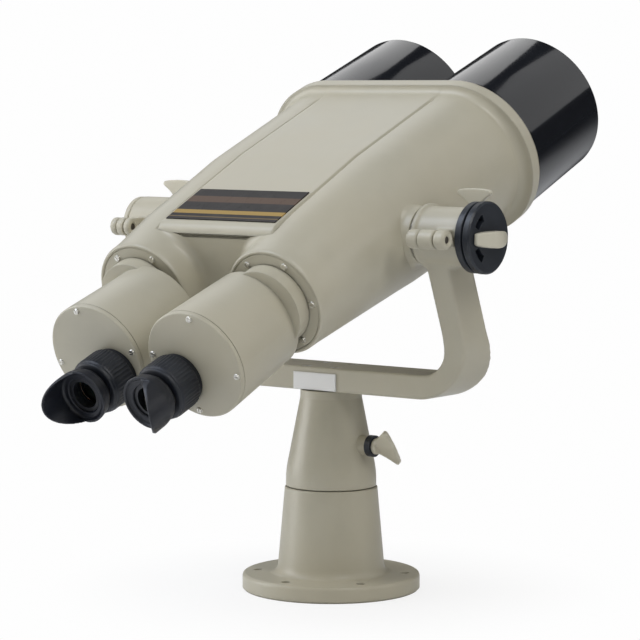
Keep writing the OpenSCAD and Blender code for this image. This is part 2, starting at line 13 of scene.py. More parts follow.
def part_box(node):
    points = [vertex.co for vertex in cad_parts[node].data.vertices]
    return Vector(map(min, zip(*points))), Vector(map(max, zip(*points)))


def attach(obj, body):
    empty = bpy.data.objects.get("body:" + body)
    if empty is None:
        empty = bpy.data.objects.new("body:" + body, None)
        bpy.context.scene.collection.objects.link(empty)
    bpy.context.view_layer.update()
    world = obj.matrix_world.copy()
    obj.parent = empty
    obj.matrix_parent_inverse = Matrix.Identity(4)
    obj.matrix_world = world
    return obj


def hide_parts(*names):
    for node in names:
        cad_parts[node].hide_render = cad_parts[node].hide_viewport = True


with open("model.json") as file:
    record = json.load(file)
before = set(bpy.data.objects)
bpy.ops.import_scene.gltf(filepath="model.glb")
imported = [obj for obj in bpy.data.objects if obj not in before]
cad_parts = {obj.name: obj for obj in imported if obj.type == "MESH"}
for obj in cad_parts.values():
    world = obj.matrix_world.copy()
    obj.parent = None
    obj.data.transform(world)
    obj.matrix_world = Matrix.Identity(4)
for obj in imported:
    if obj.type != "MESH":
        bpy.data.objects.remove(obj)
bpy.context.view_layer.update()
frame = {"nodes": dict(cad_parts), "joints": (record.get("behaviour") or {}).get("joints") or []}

LOG = logging.getLogger("binocular")
MM = 0.001
SEAM_GAP = 0.000002
NODE_GAP = 0.00001

Colour = tuple[float, float, float]
Point = tuple[float, float, float]
Ring = tuple[float, float]


def joint(name: str) -> dict:
    """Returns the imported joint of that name."""
    return next(j for j in frame["joints"] if j["name"] == name)


PIVOT = Vector(joint("elevation_tilt")["pos_m"])
SIGHT_LINE = Vector(joint("eye_spacing_right")["axis"])
TILT = math.atan2(SIGHT_LINE.z, SIGHT_LINE.y)
HEAD = Matrix.Translation(PIVOT) @ Matrix.Rotation(TILT, 4, "X")
OBJECTIVE_X = joint("eye_spacing_right")["pos_m"][0]
PANEL_RISE, PANEL_RUN = 11.3, 143.0
LABEL_LENGTH = 0.0572
LABEL_SLOPE = TILT + math.atan2(PANEL_RISE, PANEL_RUN)
ALONG_LABEL = (0.0, math.cos(LABEL_SLOPE), math.sin(LABEL_SLOPE))
LABEL_FRONT = Vector(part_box("top_plate")[1]).dot(Vector(ALONG_LABEL))


def forward(x: float = 0.0, w: float = 0.0, u: float = 0.0) -> Matrix:
    """Places a piece on an axis of the head, its +Z turned to point forward.

    Args:
        x: Sideways offset in metres.
        w: Height above the trunnion line in metres, square to the sight line.
        u: Distance forward of the trunnion line in metres.

    Returns:
        The placement matrix.
    """
    return HEAD @ Matrix.Translation((x, u, w)) @ Matrix.Rotation(-math.pi / 2, 4, "X")


class Side(Enum):
    """The two sides of the instrument, as the viewer sees them."""

    LEFT = -1
    RIGHT = 1

    @property
    def tag(self) -> str:
        """The side's name as it ends a node's name."""
        return self.name.lower()


# ---------------------------------------------------------------- shader maths


class Wire:
    """An output socket that takes part in Python arithmetic."""

    def __init__(self, paint: "Paint", socket: bpy.types.NodeSocket) -> None:
        """Holds the socket and the material it belongs to."""
        self.paint = paint
        self.socket = socket

    def _math(self, operation: str, *values: "Wire | float") -> "Wire":
        """Adds a Math node of that operation on the given values."""
        return self.paint.node("ShaderNodeMath", {"operation": operation}, *values)

    def __add__(self, other: "Wire | float") -> "Wire":
        """Returns self + other."""
        return self._math("ADD", self, other)

    def __radd__(self, other: float) -> "Wire":
        """Returns other + self."""
        return self._math("ADD", other, self)

    def __sub__(self, other: "Wire | float") -> "Wire":
        """Returns self - other."""
        return self._math("SUBTRACT", self, other)

    def __rsub__(self, other: float) -> "Wire":
        """Returns other - self."""
        return self._math("SUBTRACT", other, self)

    def __mul__(self, other: "Wire | float") -> "Wire":
        """Returns self * other."""
        return self._math("MULTIPLY", self, other)

    def __rmul__(self, other: float) -> "Wire":
        """Returns other * self."""
        return self._math("MULTIPLY", other, self)

    def over(self, low: float, high: float) -> "Wire":
        """Returns a smooth step from 0 at low to 1 at high."""
        return self.paint.node("ShaderNodeMapRange", {"interpolation_type": "SMOOTHSTEP"}, self, low, high)


MIX_COLOUR_INPUTS = (0, 6, 7)
MIX_COLOUR_OUTPUT = 2


class Paint:
    """One procedural material and the nodes that it is made of."""

    def __init__(self, name: str) -> None:
        """Starts an empty material on object coordinates."""
        self.material = bpy.data.materials.new(name)
        self.material.use_nodes = True
        self.tree = self.material.node_tree
        self.tree.nodes.clear()
        self.output = self.tree.nodes.new("ShaderNodeOutputMaterial")
        self.place = self.node("ShaderNodeTexCoord", {}, out="Object")

    def node(self, kind: str, settings: dict, *values: "Wire | float | tuple", out: str | int = 0,
             **named: "Wire | float | tuple") -> Wire:
        """Adds one node of any kind.

        Args:
            kind: The node's type.
            settings: Its own properties, set first.
            values: Values or wires for its inputs, in order.
            out: Which output the returned wire reads.
            named: Values or wires for its inputs by name, with _ for a space.

        Returns:
            The wire of the chosen output.
        """
        made = self.tree.nodes.new(kind)
        for key, value in settings.items():
            setattr(made, key, value)
        inputs = [(made.inputs[i], v) for i, v in enumerate(values)]
        inputs += [(made.inputs[k.replace("_", " ")], v) for k, v in named.items()]
        for socket, value in inputs:
            if isinstance(value, Wire):
                self.tree.links.new(value.socket, socket)
            else:
                socket.default_value = value
        return Wire(self, made.outputs[out])

    def noise(self, scale: float, detail: float = 2.0, stretch: Point = (1, 1, 1),
              seed: float = 0.0) -> Wire:
        """Returns a noise pattern of that scale per metre, stretched along the axes."""
        mapped = self.node("ShaderNodeMapping", {}, self.place, (seed, seed, seed), (0, 0, 0), stretch)
        return self.node("ShaderNodeTexNoise", {"noise_dimensions": "3D"}, mapped, Scale=scale,
                         Detail=detail)

    def cells(self, scale: float) -> Wire:
        """Returns the distance pattern of scattered cells of that scale per metre."""
        return self.node("ShaderNodeTexVoronoi", {}, self.place, Scale=scale)

    def mix(self, share: "Wire | float", first: "Wire | Colour", second: "Wire | Colour") -> Wire:
        """Mixes two colours by a share from 0 to 1."""
        made = self.tree.nodes.new("ShaderNodeMix")
        made.data_type = "RGBA"
        share_in, first_in, second_in = (made.inputs[i] for i in MIX_COLOUR_INPUTS)
        for socket, value in ((share_in, share), (first_in, first), (second_in, second)):
            if isinstance(value, Wire):
                self.tree.links.new(value.socket, socket)
            else:
                socket.default_value = (*value, 1.0) if isinstance(value, tuple) else value
        return Wire(self, made.outputs[MIX_COLOUR_OUTPUT])

    def edges(self, radius: float) -> Wire:
        """Returns a mask that is 1 on edges sharper than the radius and 0 on open surface."""
        rounded = self.node("ShaderNodeBevel", {"samples": 4}, radius)
        plain = self.node("ShaderNodeNewGeometry", {}, out="Normal")
        agree = self.node("ShaderNodeVectorMath", {"operation": "DOT_PRODUCT"}, rounded, plain, out="Value")
        return (1.0 - agree).over(0.02, 0.12)

    def crevices(self, reach: float) -> Wire:
        """Returns a mask that is 1 deep in corners and 0 on open surface."""
        lit = self.node("ShaderNodeAmbientOcclusion", {"samples": 6}, Distance=reach, out="AO")
        return (1.0 - lit).over(0.25, 0.95)

    def bump(self, height: Wire, distance: float, rounding: float = 0.0) -> Wire:
        """Turns a height pattern into a normal, over edges that look rounded.

        Args:
            height: The pattern.
            distance: Its depth in metres.
            rounding: Radius of the eased edges in metres; 0 leaves them sharp.

        Returns:
            The normal.
        """
        eased = {"Normal": self.node("ShaderNodeBevel", {"samples": 6}, rounding)} if rounding else {}
        return self.node("ShaderNodeBump", {}, Strength=1.0, Distance=distance, Height=height, **eased)

    def surface(self, shader: Wire) -> bpy.types.Material:
        """Connects a shader to the material's surface and returns the material."""
        self.tree.links.new(shader.socket, self.output.inputs["Surface"])
        return self.material

    def principled(self, **inputs: "Wire | float | tuple") -> Wire:
        """Returns a Principled shader with those inputs."""
        return self.node("ShaderNodeBsdfPrincipled", {}, **inputs)

    def finish(self, **inputs: "Wire | float | tuple") -> bpy.types.Material:
        """Connects a Principled shader with those inputs and returns the material."""
        return self.surface(self.principled(**inputs))


# ---------------------------------------------------------------- finishes


@dataclass(frozen=True)
class Enamel:
    """Semi-gloss sprayed enamel on cast metal, with orange peel, faint mottling, rubbed edges and painted
    shade in its crevices.
    """

    name: str
    colour: Colour = (0.46, 0.432, 0.340)
    roughness: float = 0.36
    peel: float = 0.00005
    wear: float = 0.3
    # how strongly shade is painted into corners and crevices
    grime: float = 0.5
    rounding: float = 0.0015

    def build(self) -> bpy.types.Material:
        """Makes the material."""
        paint = Paint(self.name)
        mottle = paint.noise(9.0, 3.0).over(0.3, 0.7)
        drift = paint.noise(46.0, 4.0, seed=3.0).over(0.35, 0.75)
        deep = tuple(c * 0.93 for c in self.colour)
        warm = (self.colour[0] * 1.02, self.colour[1] * 0.995, self.colour[2] * 0.955)
        tone = paint.mix(mottle * 0.6, paint.mix(drift * 0.5, self.colour, deep), warm)
        # Painted shade: the colour darkens to 0.62 of itself in corners and crevices, where ambient occlusion
        # finds shade.
        corner = paint.crevices(0.012) * self.grime
        tone = paint.mix(corner, tone, tuple(c * 0.62 for c in self.colour))
        chips = paint.noise(260.0, 5.0, seed=7.0).over(0.52, 0.66)
        rubbed = paint.edges(0.0012) * chips * self.wear
        pale = tuple(min(c * 1.22, 0.9) for c in self.colour)
        tone = paint.mix(rubbed, tone, pale)
        specks = paint.cells(420.0).over(0.05, 0.02) * drift * 0.25
        tone = paint.mix(specks, tone, tuple(c * 0.5 for c in self.colour))
        gloss = self.roughness + mottle * 0.05 + corner * 0.25 + rubbed * 0.12 - drift * 0.03
        skin = paint.noise(620.0, 2.0, seed=1.0) * 0.7 + paint.noise(140.0, 2.0, seed=5.0) * 0.8
        return paint.finish(Base_Color=tone, Roughness=gloss, IOR=1.5,
                            Normal=paint.bump(skin, self.peel, self.rounding))


@dataclass(frozen=True)
class Lacquer:
    """Deep gloss black lacquer with faint ripples, dust and wiping marks."""

    name: str
    colour: Colour = (0.009, 0.010, 0.013)
    roughness: float = 0.13

    def build(self) -> bpy.types.Material:
        """Makes the material."""
        paint = Paint(self.name)
        wipes = paint.noise(14.0, 5.0, stretch=(1.0, 0.3, 1.0)).over(0.42, 0.75)
        patches = paint.noise(30.0, 2.0, seed=2.0).over(0.45, 0.7)
        dust = paint.cells(700.0).over(0.06, 0.015) * patches
        tone = paint.mix(wipes * 0.5, self.colour, (0.014, 0.016, 0.021))
        tone = paint.mix(dust * 0.5, tone, (0.16, 0.16, 0.155))
        tone = paint.mix(paint.edges(0.0008) * 0.25, tone, (0.09, 0.09, 0.1))
        gloss = self.roughness + wipes * 0.06 + dust * 0.3
        ripple = paint.noise(210.0, 2.0, seed=4.0)
        return paint.finish(Base_Color=tone, Roughness=gloss, IOR=1.5, Coat_Roughness=0.05,
                            Coat_Weight=0.6 - wipes * 0.2, Normal=paint.bump(ripple, 0.00003))


@dataclass(frozen=True)
class Rubber:
    """Moulded black rubber or soft plastic with a fine grain and paler rubbed edges."""

    name: str
    colour: Colour = (0.010, 0.012, 0.017)
    rubbed: Colour = (0.06, 0.066, 0.078)
    roughness: float = 0.5
    grain: float = 0.00006
    rounding: float = 0.0006

    def build(self) -> bpy.types.Material:
        """Makes the material."""
        paint = Paint(self.name)
        cloud = paint.noise(38.0, 4.0).over(0.35, 0.72)
        tone = paint.mix(cloud * 0.4, self.colour, tuple(c * 1.5 for c in self.colour))
        handled = paint.edges(0.001) * paint.noise(180.0, 3.0, seed=6.0).over(0.35, 0.6)
        tone = paint.mix(handled * 0.6, tone, self.rubbed)
        patches = paint.noise(55.0, 1.0, seed=8.0).over(0.5, 0.7)
        lint = paint.cells(900.0).over(0.05, 0.02) * patches
        tone = paint.mix(lint * 0.4, tone, (0.2, 0.2, 0.19))
        gloss = self.roughness + cloud * 0.12 - handled * 0.1
        grain = paint.noise(1500.0, 2.0) * 0.6 + paint.cells(1100.0) * 0.4
        return paint.finish(Base_Color=tone, Roughness=gloss, IOR=1.48,
                            Normal=paint.bump(grain, self.grain, self.rounding))


@dataclass(frozen=True)
class Metal:
    """Machined metal with turning marks, light tarnish and fine scratches."""

    name: str
    colour: Colour = (0.60, 0.59, 0.57)
    tarnish: Colour = (0.34, 0.32, 0.29)
    roughness: float = 0.28
    marks: Point = (1.0, 1.0, 24.0)

    def build(self) -> bpy.types.Material:
        """Makes the material."""
        paint = Paint(self.name)
        turned = paint.noise(90.0, 3.0, stretch=self.marks)
        stain = paint.noise(70.0, 4.0, seed=2.0).over(0.45, 0.72) + paint.crevices(0.004) * 0.6
        tone = paint.mix(stain * 0.7, self.colour, self.tarnish)
        bright = paint.edges(0.0006)
        tone = paint.mix(bright * 0.5, tone, tuple(min(c * 1.3, 0.95) for c in self.colour))
        gloss = self.roughness + turned.over(0.3, 0.7) * 0.14 + stain * 0.12
        return paint.finish(Base_Color=tone, Metallic=0.96 - stain * 0.15, Roughness=gloss,
                            Normal=paint.bump(turned, 0.00003))


@dataclass(frozen=True)
class Glass:
    """Polished optical glass with a thin coloured coating and a trace of dust."""

    name: str
    tint: Colour = (0.72, 0.84, 0.80)

    def build(self) -> bpy.types.Material:
        """Makes the material."""
        paint = Paint(self.name)
        dust = paint.cells(600.0).over(0.05, 0.02) * paint.noise(40.0, 2.0).over(0.4, 0.7)
        tone = paint.mix(dust * 0.3, self.tint, (0.9, 0.9, 0.88))
        gloss = 0.02 + dust * 0.25
        return paint.finish(Base_Color=tone, Roughness=gloss, IOR=1.52, Transmission_Weight=1.0,
                            Thin_Film_Thickness=420.0, Thin_Film_IOR=1.38)


@dataclass(frozen=True)
class BandedLabel:
    """Printed plate: blank coloured bands across a black ground, lightly scuffed.

    Each band runs from one share of the plate's length to another, counted from its front.
    """

    name: str
    ground: Colour = (0.013, 0.011, 0.011)
    bands: tuple[tuple[float, float, Colour], ...] = (
        (0.24, 0.44, (0.085, 0.050, 0.032)), (0.70, 0.82, (0.34, 0.22, 0.055)),
        (0.91, 0.935, (0.16, 0.11, 0.05)))
    blur: float = 0.006

    def build(self) -> bpy.types.Material:
        """Makes the material."""
        paint = Paint(self.name)
        station = paint.node("ShaderNodeVectorMath", {"operation": "DOT_PRODUCT"}, paint.place, ALONG_LABEL,
                             out="Value")
        share = (LABEL_FRONT - station) * (1.0 / LABEL_LENGTH)
        tone = paint.mix(paint.noise(60.0, 3.0).over(0.4, 0.7), self.ground, (0.022, 0.019, 0.018))
        for low, high, colour in self.bands:
            past_low = share.over(low - self.blur, low + self.blur)
            inside = past_low - share.over(high - self.blur, high + self.blur)
            tone = paint.mix(inside, tone, colour)
        scuff = paint.noise(420.0, 4.0, stretch=(1.0, 0.15, 1.0), seed=3.0).over(0.55, 0.75)
        tone = paint.mix(scuff * 0.1, tone, (0.05, 0.05, 0.05))
        return paint.finish(Base_Color=tone, Roughness=0.42 + scuff * 0.1, IOR=1.3,
                            Normal=paint.bump(paint.noise(800.0, 2.0), 0.00001))


_MADE: dict[str, bpy.types.Material] = {}


class Finish(Enum):
    """Every finish on the instrument."""

    ENAMEL = Enamel("warm_grey_enamel")
    BASE = Enamel("base_enamel", grime=0.7, wear=0.5)
    CASTING = Enamel("rounded_casting_enamel", rounding=0.003)
    # Painted shade: the hinge pins are coloured near black to stand in for the shade inside their recessed
    # holes.
    PIN = Metal("blackened_pin", colour=(0.10, 0.09, 0.08), tarnish=(0.03, 0.025, 0.02),
                roughness=0.45)
    GRIP_ENAMEL = Enamel("wing_screw_enamel", colour=(0.56, 0.53, 0.43), wear=0.5, roughness=0.32)
    HOOD = Lacquer("hood_lacquer")
    SATIN_BLACK = Rubber("satin_black_anodising", colour=(0.012, 0.013, 0.016), roughness=0.36,
                         grain=0.00002)
    GRIP = Rubber("focus_grip_rubber", colour=(0.0075, 0.0095, 0.0145), roughness=0.42)
    EYECUP = Rubber("eyecup_rubber", colour=(0.0065, 0.008, 0.013), rubbed=(0.03, 0.035, 0.045),
                    roughness=0.4)
    KNOB = Rubber("tension_knob_black", colour=(0.012, 0.015, 0.021), rubbed=(0.07, 0.08, 0.10),
                  roughness=0.36)
    STEEL = Metal("turned_steel")
    SCREW = Metal("plated_screw", colour=(0.74, 0.72, 0.66), tarnish=(0.5, 0.47, 0.4),
                  roughness=0.24)
    BRONZE = Metal("bearing_bronze", colour=(0.55, 0.36, 0.16), tarnish=(0.25, 0.16, 0.08))
    WHITE = Enamel("white_plate_enamel", colour=(0.80, 0.80, 0.79), wear=0.2, grime=0.4,
                   roughness=0.3)
    LABEL = BandedLabel("banded_label")
    GLASS = Glass("coated_glass")

    def material(self) -> bpy.types.Material:
        """Returns the finish's material, made once."""
        if self.name not in _MADE:
            _MADE[self.name] = self.value.build()
        return _MADE[self.name]


# ---------------------------------------------------------------- dressing the CAD nodes

NODE_FINISH: dict[str, Finish] = {
    "pedestal_base": Finish.BASE, "azimuth_spindle": Finish.STEEL, "spindle_screws": Finish.STEEL,
    "thrust_washer": Finish.BRONZE, "spindle_collar": Finish.STEEL, "swivel_column": Finish.ENAMEL,
    "swivel_bushes": Finish.BRONZE, "lock_collar": Finish.KNOB, "lock_screw": Finish.GRIP_ENAMEL,
    "fork": Finish.ENAMEL, "fork_screws": Finish.STEEL, "fork_plate": Finish.WHITE,
    "bearing_cap": Finish.ENAMEL, "cap_hinge_pin": Finish.PIN, "clamp_screw": Finish.GRIP_ENAMEL,
    "main_housing": Finish.ENAMEL, "top_plate": Finish.LABEL, "front_rim": Finish.CASTING,
    "rim_screws": Finish.SCREW, "hood": Finish.HOOD, "objective_cell": Finish.SATIN_BLACK,
    "objective_lens": Finish.GLASS, "lens_retainer": Finish.SATIN_BLACK, "barrel_baffles": Finish.SATIN_BLACK,
    "trunnion": Finish.STEEL, "trunnion_end_cap": Finish.ENAMEL, "tension_disc": Finish.KNOB,
    "friction_washer": Finish.BRONZE, "tension_screw": Finish.GRIP_ENAMEL, "rear_flange": Finish.ENAMEL,
    "rear_flange_screws": Finish.SCREW, "prism_housing": Finish.ENAMEL, "prism_cover": Finish.ENAMEL,
    "cover_screws": Finish.SCREW, "prisms": Finish.GLASS, "focus_ring": Finish.GRIP,
    "ocular": Finish.SATIN_BLACK, "eyecup": Finish.EYECUP, "eye_lens": Finish.GLASS}


def dress(piece: bpy.types.Object, finish: Finish) -> None:
    """Gives a piece one finish all over."""
    piece.data.materials.clear()
    piece.data.materials.append(finish.material())


def dress_frame() -> None:
    """Gives every CAD node its finish."""
    for name, node in frame["nodes"].items():
        key = name if name in NODE_FINISH else name.rsplit("_", 1)[0]
        dress(node, NODE_FINISH[key])
        LOG.info("dressed %s", name)


# ---------------------------------------------------------------- modelling


def select_only(piece: bpy.types.Object) -> None:
    """Makes a piece the one that is selected and active."""
    bpy.ops.object.select_all(action="DESELECT")
    piece.select_set(True)
    bpy.context.view_layer.objects.active = piece


def face_outwards() -> None:
    """Turns the active piece's faces to the outside."""
    bpy.ops.object.mode_set(mode="EDIT")
    bpy.ops.mesh.select_all(action="SELECT")
    bpy.ops.mesh.normals_make_consistent(inside=False)
    bpy.ops.object.mode_set(mode="OBJECT")


def place_and_finish(piece: bpy.types.Object, place: Matrix, finish: Finish, body: str, *nodes: str,
                     smooth: float = 32.0) -> bpy.types.Object:
    """Moves a piece's mesh to its place, gives it its finish and ties it to its body.

    Args:
        piece: The new object, with its mesh around the origin.
        place: Where it goes.
        finish: Its finish.
        body: The body that it moves with.
        nodes: The CAD nodes that it stands for.
        smooth: Edges sharper than this many degrees stay sharp.

    Returns:
        The piece.
    """
    piece.matrix_world = place
    select_only(piece)
    bpy.ops.object.transform_apply(location=True, rotation=True, scale=True)
    bpy.ops.object.shade_smooth_by_angle(angle=math.radians(smooth))
    dress(piece, finish)
    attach(piece, body)
    if nodes:
        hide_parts(*nodes)
    LOG.info("made %s: %d faces", piece.name, len(piece.data.polygons))
    return piece


def new_piece(name: str, points: Sequence[Point], edges: Sequence[tuple[int, int]],
              faces: Sequence[Sequence[int]]) -> bpy.types.Object:
    """Makes an object from points in metres and selects it alone.

    Args:
        name: The piece's name.
        points: Its vertices.
        edges: Pairs of vertices to join.
        faces: Rings of vertices to fill.

    Returns:
        The piece, around the origin.
    """
    mesh = bpy.data.meshes.new(name)
    mesh.from_pydata([tuple(p) for p in points], list(edges), [tuple(f) for f in faces])
    piece = bpy.data.objects.new(name, mesh)
    bpy.context.scene.collection.objects.link(piece)
    select_only(piece)
    return piece


def turned(name: str, outline: Sequence[Ring], closed: bool = True, steps: int = 128) -> bpy.types.Object:
    """Spins an outline about the Z axis.

    Args:
        name: The piece's name.
        outline: Points as (radius, height) in millimetres.
        closed: Whether the outline joins up with its start.
        steps: Segments round.

    Returns:
        The piece, around the origin.
    """
    points = [(r * MM, 0.0, z * MM) for r, z in outline]
    edges = [(i, i + 1) for i in range(len(points) - 1)]
    if closed:
        edges.append((len(points) - 1, 0))
    piece = new_piece(name, points, edges, [])
    bpy.ops.object.mode_set(mode="EDIT")
    bpy.ops.mesh.select_all(action="SELECT")
    bpy.ops.mesh.spin(steps=steps, angle=2 * math.pi, center=(0, 0, 0), axis=(0, 0, 1))
    bpy.ops.mesh.select_all(action="SELECT")
    bpy.ops.mesh.remove_doubles(threshold=SEAM_GAP)
    bpy.ops.mesh.normals_make_consistent(inside=False)
    bpy.ops.object.mode_set(mode="OBJECT")
    return piece


def loft(name: str, rings: Sequence[Sequence[Point]], cap: Sequence[Point] = ()) -> bpy.types.Object:
    """Joins rings of points in millimetres, of one length, into a skin.

    Args:
        name: The piece's name.
        rings: The rings, from one end to the other.
        cap: Outline of one flat face to add.

    Returns:
        The piece, around the origin.
    """
    count = len(rings[0])
    points = [(x * MM, y * MM, z * MM) for ring in (*rings, cap) for x, y, z in ring]
    faces = [(row * count + i, row * count + (i + 1) % count, (row + 1) * count + (i + 1) % count,
              (row + 1) * count + i) for row in range(len(rings) - 1) for i in range(count)]
    if cap:
        faces.append(tuple(range(len(rings) * count, len(points))))
    piece = new_piece(name, points, [], faces)
    face_outwards()
    return piece


@dataclass(frozen=True)
class Casting:
    """A cast or moulded version of a CAD node, its edges eased all round.

    The voxel is the remesh size in metres, and rounds counts the smoothing passes.
    """

    node: str
    name: str
    body: str
    finish: Finish
    voxel: float
    rounds: int
    ease: float = 0.6

    def build(self) -> None:
        """Makes the piece from a copy of the node's mesh."""
        piece = bpy.data.objects.new(self.name, frame["nodes"][self.node].data.copy())
        bpy.context.scene.collection.objects.link(piece)
        select_only(piece)
        bpy.ops.object.mode_set(mode="EDIT")
        bpy.ops.mesh.select_all(action="SELECT")
        bpy.ops.mesh.remove_doubles(threshold=NODE_GAP)
        bpy.ops.object.mode_set(mode="OBJECT")
        remesh = piece.modifiers.new("cast", "REMESH")
        remesh.mode = "VOXEL"
        remesh.voxel_size = self.voxel
        bpy.ops.object.modifier_apply(modifier=remesh.name)
        relax = piece.modifiers.new("ease", "SMOOTH")
        relax.factor = self.ease
        relax.iterations = self.rounds
        bpy.ops.object.modifier_apply(modifier=relax.name)
        place_and_finish(piece, Matrix.Identity(4), self.finish, self.body, self.node, smooth=60.0)


def smoothstep(low: float, high: float, value: float) -> float:
    """Returns a smooth step of the value from 0 at low to 1 at high."""
    t = min(max((value - low) / (high - low), 0.0), 1.0)
    return t * t * (3 - 2 * t)


def along(table: Sequence[Ring], u: float) -> float:
    """Interpolates a table of (station, value) at a station."""
    for (u0, v0), (u1, v1) in zip(table, table[1:]):
        if u <= u1:
            return v0 + (v1 - v0) * max(u - u0, 0.0) / (u1 - u0)
    return table[-1][1]


@dataclass
class Housing:
    """The cast body: two barrels, the flat top panel between them and the web below.

    Stations and sizes are in millimetres from the trunnion line. Each barrel's radius, the panel's
    height and the belly's height are tables of (station, value).
    """

    axis_x: float = OBJECTIVE_X / MM
    rear_wall: float = -122.0
    rim_rear: float = 174.0
    tail_end: float = -151.8
    arc_steps: int = 56
    tail_steps: int = 96
    wall_steps: int = 24
    radius: tuple[Ring, ...] = ((-152, 51.6), (-137, 52.1), (-8, 61.2), (12, 63.0), (32, 63.9),
                                (60, 64.2), (100, 64.5), (135, 65.2), (165, 66.2), (174, 66.5))
    panel: tuple[Ring, ...] = ((-122, 57.9), (22, 69.3), (166, 71.4), (174, 71.6))
    belly: tuple[Ring, ...] = ((-122, -44.0), (22, -52.0), (174, -56.0))
    panel_half: float = 67.0
    panel_points: tuple[float, ...] = (0.0, 20.0, 40.0, 54.0, 62.0)
    fillet: float = 8.0
    brow: float = 9.0
    crest_blend: tuple[float, float] = (-150.0, -84.0)
    crest_drop: float = 0.4
    crest_flare: float = 0.84
    groove: float = 2.0
    groove_fade: tuple[float, float] = (150.0, 168.0)
    inward: tuple[float, float] = (105.0, 135.0)
    outward: tuple[float, float] = (222.0, 246.0)
    smooth: float = 38.0

    def crest(self, u: float, side: float, top: float) -> float:
        """Returns the upper half's height: round at the rear end, up to the panel further on."""
        return side + (top - self.crest_drop - side) * smoothstep(*self.crest_blend, u)

    def section(self, u: float) -> list[Ring]:
        """Returns the right half of the outline at a station, from the panel's middle to the belly's.

        Args:
            u: The station.

        Returns:
            Points as (across, up).
        """
        start = self.rim_rear - self.fillet
        flare = self.fillet - math.sqrt(max(self.fillet**2 - max(u - start, 0.0)**2, 0.0))
        side = along(self.radius, u) + flare
        top = along(self.panel, u) + flare * self.crest_flare
        drop = max(self.rear_wall + self.brow - u, 0.0)
        panel = top - (self.brow - math.sqrt(max(self.brow**2 - drop**2, 0.0)))
        crest = self.crest(u, side, top)
        low = along(self.belly, u) - flare
        groove = self.groove * (1.0 - smoothstep(*self.groove_fade, u))
        half = self.panel_half
        points = [(x, panel) for x in (*self.panel_points, half - 1.2)]
        points += [(half, panel - 0.15), (half + 0.9, panel - groove * 0.75),
                   (half + 1.7, min(panel, crest) - groove)]
        first = math.acos((half + 3.2 - self.axis_x) / side)
        last = -(math.pi - math.asin(min(-low / side, 0.999)))
        for i in range(self.arc_steps + 1):
            a = first + (last - first) * i / self.arc_steps
            height = crest if a > 0 else side
            points.append((self.axis_x + side * math.cos(a), height * math.sin(a)))
        inner = points[-1][0]
        points += [(inner - 4.0, low - 0.2), (inner * 0.5, low), (0.0, low)]
        return points

    def both_sides(self, half: Sequence[Ring], u: float) -> list[Point]:
        """Mirrors half an outline into a whole ring at a station."""
        return [(x, u, w) for x, w in (*half, *((-x, w) for x, w in half[-2:0:-1]))]

    def wall(self) -> list[Point]:
        """Returns the outline of the wall between the barrels."""
        across_panel = self.section(self.rear_wall)[:len(self.panel_points) + 4]
        side = along(self.radius, self.rear_wall)
        low = along(self.belly, self.rear_wall)
        first = math.acos((across_panel[-1][0] - self.axis_x) / side)
        last = math.pi + math.asin(-low / side)
        angles = [first + (last - first) * i / self.wall_steps for i in range(1, self.wall_steps + 1)]
        arc = [(self.axis_x + side * math.cos(a), side * math.sin(a)) for a in angles]
        return self.both_sides([*across_panel, *arc, (0.0, low)], self.rear_wall)

    def skin(self) -> None:
        """Lofts the body from the rear wall to the rim."""
        quarter = [math.radians(t) for t in range(0, 91, 10)]
        start = self.rim_rear - self.fillet
        stations = [self.rear_wall + self.brow * (1 - math.cos(t)) for t in quarter]
        stations += [-104.0, -92.0, -78.0, -62.0, -45.0, -28.0, -12.0, 2.0, 12.0, 22.0, 34.0, 48.0, 65.0,
                     85.0, 105.0, 125.0, 140.0, 150.0, 156.0, 161.0, 165.0]
        stations += [start + self.fillet * math.sin(t) for t in quarter]
        piece = loft("body_skin", [self.both_sides(self.section(u), u) for u in stations], self.wall())
        place_and_finish(piece, HEAD, Finish.ENAMEL, "head", "main_housing", smooth=self.smooth)

    def tail_ring(self, u: float) -> list[Ring]:
        """Returns one barrel's outline at a station behind the panel, swelling where it joins the wall."""
        side = along(self.radius, u)
        (u0, w0), (u1, w1) = self.panel[:2]
        crest = self.crest(u, side, w0 + (u - u0) * (w1 - w0) / (u1 - u0))
        reach = min(max(self.fillet - (self.rear_wall - u), 0.0), self.fillet)
        swell = self.fillet - math.sqrt(self.fillet**2 - reach**2)
        points = []
        for i in range(self.tail_steps):
            a = 2 * math.pi * i / self.tail_steps
            turn = math.degrees(a)
            inner = smoothstep(*self.inward, turn) * (1 - smoothstep(*self.outward, turn))
            scale = 1.0 + swell * inner / side
            height = crest if math.sin(a) > 0 else side
            points.append((self.axis_x + side * scale * math.cos(a), height * scale * math.sin(a)))
        return points

    def tails(self) -> None:
        """Lofts the round rear ends of the barrels, each with a lip round its flange."""
        end = self.tail_end
        stations = [self.rear_wall - self.fillet * (1 - math.cos(math.radians(t)))
                    for t in range(0, 91, 10)]
        stations += [-135.0, -140.0, end + 5.0, end + 2.4]
        lip = ((51.1, end + 1.0), (50.8, end + 0.4), (50.2, end), (48.9, end), (48.2, end + 0.3),
               (47.7, end + 0.9), (47.7, end + 4.5), (38.0, end + 4.5))
        angles = [2 * math.pi * i / self.tail_steps for i in range(self.tail_steps)]
        rings = [[(x, u, w) for x, w in self.tail_ring(u)] for u in stations]
        rings += [[(self.axis_x + r * math.cos(a), u, r * math.sin(a)) for a in angles] for r, u in lip]
        for side in Side:
            sided = [[(side.value * x, u, w) for x, u, w in ring] for ring in rings]
            piece = loft(f"barrel_tail_{side.tag}", sided)
            place_and_finish(piece, HEAD, Finish.ENAMEL, "head", "main_housing", smooth=self.smooth)

